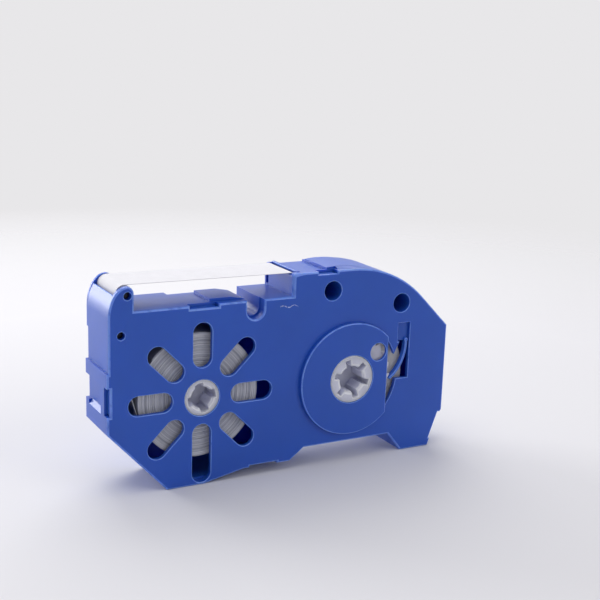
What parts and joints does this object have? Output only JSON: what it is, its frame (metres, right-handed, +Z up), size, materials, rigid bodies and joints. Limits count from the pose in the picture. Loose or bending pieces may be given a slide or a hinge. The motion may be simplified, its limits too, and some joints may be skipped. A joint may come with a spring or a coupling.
{
  "type": "fibre optic cleaning cassette",
  "caption": "Snap-together blue plastic cassette whose two toothed-socket reels draw a cleaning tape over an open gap for wiping optical connector ends.",
  "frame": {"origin": "on the floor that the two feet stand on, under the middle of the bounding box", "axes": "+Z up, +X to the right along the case's length as seen from the windowed front, +Y from the front cover to the rear wall"},
  "size_m": [0.0962, 0.0174, 0.0523],
  "materials": {
    "cover_plastic": "fine satin, moulded blue",
    "case_plastic": "fine satin, moulded blue",
    "pawl_plastic": "fine satin, moulded blue",
    "supply_hub_plastic": "satin natural white",
    "supply_tape": "edges of a wound cleaning tape",
    "felt": "felt",
    "takeup_hub_plastic": "satin natural white",
    "flange_plastic": "satin natural white",
    "ratchet_plastic": "satin natural white",
    "takeup_tape": "edges of a wound cleaning tape",
    "roller_plastic": "satin natural white",
    "pin_steel": "ground steel",
    "feed_tape": "fine woven polyester cleaning tape",
    "cleaning_tape": "fine woven polyester cleaning tape",
    "return_tape": "fine woven polyester cleaning tape"
  },
  "bodies": {
    "case": {"front_cover": "cover_plastic", "rear_case": "case_plastic", "supply_friction_washer": "felt", "horn_roller_pin": "pin_steel", "guide_roller_pin": "pin_steel", "tape_feed_run": "feed_tape", "tape_cleaning_span": "cleaning_tape", "tape_return_run": "return_tape"},
    "supply_reel": {"supply_hub": "supply_hub_plastic", "supply_tape_pack": "supply_tape"},
    "takeup_reel": {"takeup_hub": "takeup_hub_plastic", "takeup_flange": "flange_plastic", "ratchet_wheel": "ratchet_plastic", "takeup_tape_pack": "takeup_tape"},
    "horn_roller": {"horn_roller": "roller_plastic"},
    "guide_roller": {"guide_roller": "roller_plastic"},
    "pawl": {"ratchet_pawl": "pawl_plastic"}
  },
  "joints": [
    {"name": "takeup_spin", "type": "hinge", "parent": "case", "child": "takeup_reel", "pos_m": [0.01795, 0, 0.0226], "axis": [0, 1, 0], "continuous": true},
    {"name": "supply_spin", "type": "hinge", "parent": "case", "child": "supply_reel", "pos_m": [-0.02395, 0, 0.0226], "axis": [0, 1, 0], "continuous": true},
    {"name": "horn_roller_spin", "type": "hinge", "parent": "case", "child": "horn_roller", "pos_m": [-0.04305, 0, 0.0497], "axis": [0, 1, 0], "continuous": true},
    {"name": "guide_roller_spin", "type": "hinge", "parent": "case", "child": "guide_roller", "pos_m": [-0.04465, 0, 0.0403], "axis": [0, 1, 0], "continuous": true},
    {"name": "pawl_flex", "type": "hinge", "parent": "case", "child": "pawl", "pos_m": [0.03515, 0, 0.0312], "axis": [0, -1, 0], "range_deg": [0, 6], "stiffness_Nm_per_rad": 0.0005}
  ],
  "couplings": [
    {"joint": "supply_spin", "follows": "takeup_spin", "ratio": 0.891},
    {"joint": "horn_roller_spin", "follows": "takeup_spin", "ratio": 6.81},
    {"joint": "guide_roller_spin", "follows": "takeup_spin", "ratio": 10.59}
  ]
}
